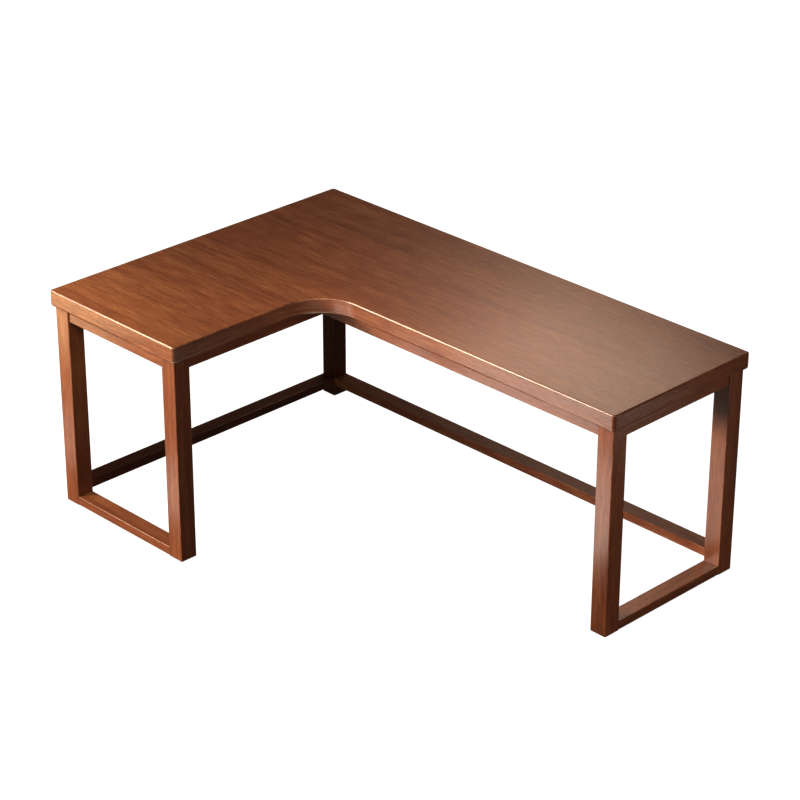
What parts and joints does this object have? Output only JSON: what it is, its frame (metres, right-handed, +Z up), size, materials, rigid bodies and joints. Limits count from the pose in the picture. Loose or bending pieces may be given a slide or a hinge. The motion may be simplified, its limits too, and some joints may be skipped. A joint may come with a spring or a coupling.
{
  "type": "corner desk",
  "caption": "L-shaped wooden corner desk: thick worktop with a curved inner corner on two closed end frames and a corner leg, with low stretchers.",
  "frame": {"origin": "on the floor, under the centre of the bounding box", "axes": "+X along the main arm to its free end, +Y towards the wall behind the main arm, +Z up; the return arm comes forward (-Y) at the -X end"},
  "size_m": [1.8, 1.208, 0.74],
  "materials": {
    "worktop_wood": "satin lacquer over reddish-brown stain",
    "leg_wood": "satin lacquer over reddish-brown stain",
    "rail_wood": "satin lacquer over reddish-brown stain",
    "block_wood": "bare sanded wood",
    "zinc_steel": "bright zinc plate",
    "glide_nylon": "matte nylon"
  },
  "bodies": {
    "root": {"worktop": "worktop_wood", "leg_left_outer": "leg_wood", "leg_left_inner": "leg_wood", "leg_right_front": "leg_wood", "leg_right_back": "leg_wood", "leg_corner": "leg_wood", "left_frame_top_rail": "rail_wood", "left_frame_bottom_rail": "rail_wood", "right_frame_top_rail": "rail_wood", "right_frame_bottom_rail": "rail_wood", "rear_apron": "rail_wood", "front_apron": "rail_wood", "left_apron": "rail_wood", "inner_apron": "rail_wood", "left_stretcher": "rail_wood", "rear_stretcher": "rail_wood", "glue_block_inner": "block_wood", "glue_block_beam_front": "block_wood", "glue_block_beam_rear": "block_wood", "corner_brace_left_outer": "block_wood", "corner_brace_left_inner": "block_wood", "corner_brace_right_front": "block_wood", "corner_brace_right_back": "block_wood", "corner_brace_corner": "block_wood", "hanger_bolt_left_outer": "zinc_steel", "hanger_nut_left_outer": "zinc_steel", "hanger_bolt_left_inner": "zinc_steel", "hanger_nut_left_inner": "zinc_steel", "hanger_bolt_right_front": "zinc_steel", "hanger_nut_right_front": "zinc_steel", "hanger_bolt_right_back": "zinc_steel", "hanger_nut_right_back": "zinc_steel", "hanger_bolt_corner": "zinc_steel", "hanger_nut_corner": "zinc_steel", "cam_bolt_left_front": "zinc_steel", "cam_left_front": "zinc_steel", "cam_bolt_left_rear": "zinc_steel", "cam_left_rear": "zinc_steel", "cam_bolt_rear_left": "zinc_steel", "cam_rear_left": "zinc_steel", "cam_bolt_rear_right": "zinc_steel", "cam_rear_right": "zinc_steel", "top_screw_rear_left": "zinc_steel", "top_screw_rear_right": "zinc_steel", "top_screw_front_left": "zinc_steel", "top_screw_front_right": "zinc_steel", "top_screw_left": "zinc_steel", "top_screw_inner": "zinc_steel", "top_screw_left_frame": "zinc_steel", "top_screw_right_frame": "zinc_steel", "glide_left_outer": "glide_nylon", "glide_left_inner": "glide_nylon", "glide_right_front": "glide_nylon", "glide_right_back": "glide_nylon", "glide_corner": "glide_nylon"}
  },
  "joints": []
}
